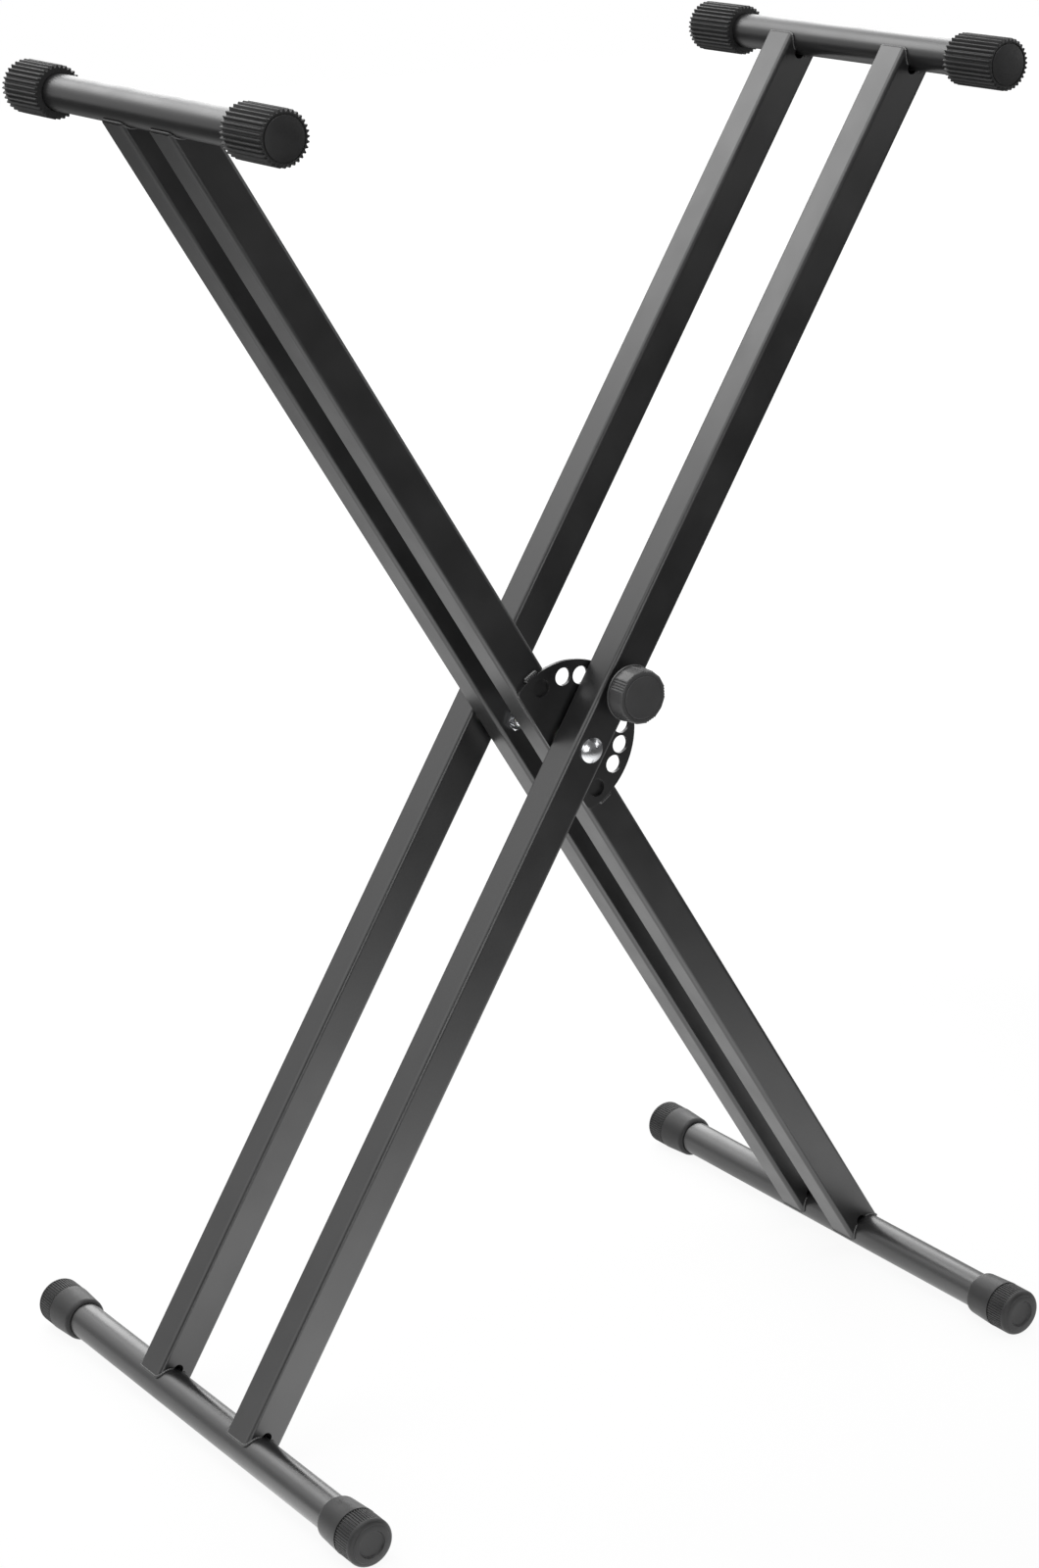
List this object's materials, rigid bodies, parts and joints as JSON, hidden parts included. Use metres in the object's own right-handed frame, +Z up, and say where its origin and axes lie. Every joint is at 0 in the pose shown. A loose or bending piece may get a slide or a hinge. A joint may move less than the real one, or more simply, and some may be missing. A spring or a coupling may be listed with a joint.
{
  "type": "keyboard stand",
  "caption": "Folding double-X keyboard stand: crossed pairs of steel box tubes on a bolted pivot, round support and foot bars with rubber caps, and a hole-plate lock with a spring knob",
  "frame": {"origin": "on the floor, midway between the two foot bars and midway between their ends", "axes": "+Z up, Y along the bars with the lock knob on the -Y side, +X from the outer frame's foot bar to the inner frame's foot bar"},
  "size_m": [0.6336, 0.465, 0.9877],
  "materials": {
    "frame_paint": "satin black powder coat on steel tube",
    "cap_rubber": "matte moulded rubber",
    "bright_zinc": "bright zinc plate",
    "plain_steel": "oiled plain steel",
    "nylon": "natural nylon",
    "knob_plastic": "fine-grained moulded plastic"
  },
  "bodies": {
    "outer_frame": {"outer_leg_front": "frame_paint", "outer_leg_rear": "frame_paint", "outer_support_bar": "frame_paint", "outer_foot_bar": "frame_paint", "outer_support_cap_front": "cap_rubber", "outer_support_cap_rear": "cap_rubber", "outer_foot_cap_front": "cap_rubber", "outer_foot_cap_rear": "cap_rubber", "outer_pivot_sleeve_front": "plain_steel", "outer_pivot_sleeve_rear": "plain_steel", "pivot_bolt_front": "bright_zinc", "pivot_bolt_rear": "bright_zinc", "pivot_nut_front": "bright_zinc", "pivot_nut_rear": "bright_zinc", "pivot_washer_front": "nylon", "pivot_spacer_rear": "nylon", "lock_housing": "frame_paint", "lock_housing_plug": "plain_steel", "lock_spring": "plain_steel"},
    "inner_frame": {"inner_leg_front": "frame_paint", "inner_leg_rear": "frame_paint", "inner_support_bar": "frame_paint", "inner_foot_bar": "frame_paint", "inner_support_cap_front": "cap_rubber", "inner_support_cap_rear": "cap_rubber", "inner_foot_cap_front": "cap_rubber", "inner_foot_cap_rear": "cap_rubber", "inner_pivot_sleeve_front": "plain_steel", "inner_pivot_sleeve_rear": "plain_steel", "lock_plate": "frame_paint"},
    "lock_plunger": {"lock_pin": "bright_zinc", "lock_knob": "knob_plastic"}
  },
  "joints": [
    {"name": "fold", "type": "hinge", "parent": "outer_frame", "child": "inner_frame", "pos_m": [0, 0, 0.49595], "axis": [0, -1, 0], "range_deg": [-59.5, 90]},
    {"name": "lock_pull", "type": "slide", "parent": "outer_frame", "child": "lock_plunger", "axis": [0, -1, 0], "range_m": [-0.0033, 0.005], "stiffness_N_per_m": 1000, "springref_m": -0.0083, "deforming": ["lock_spring"]}
  ]
}
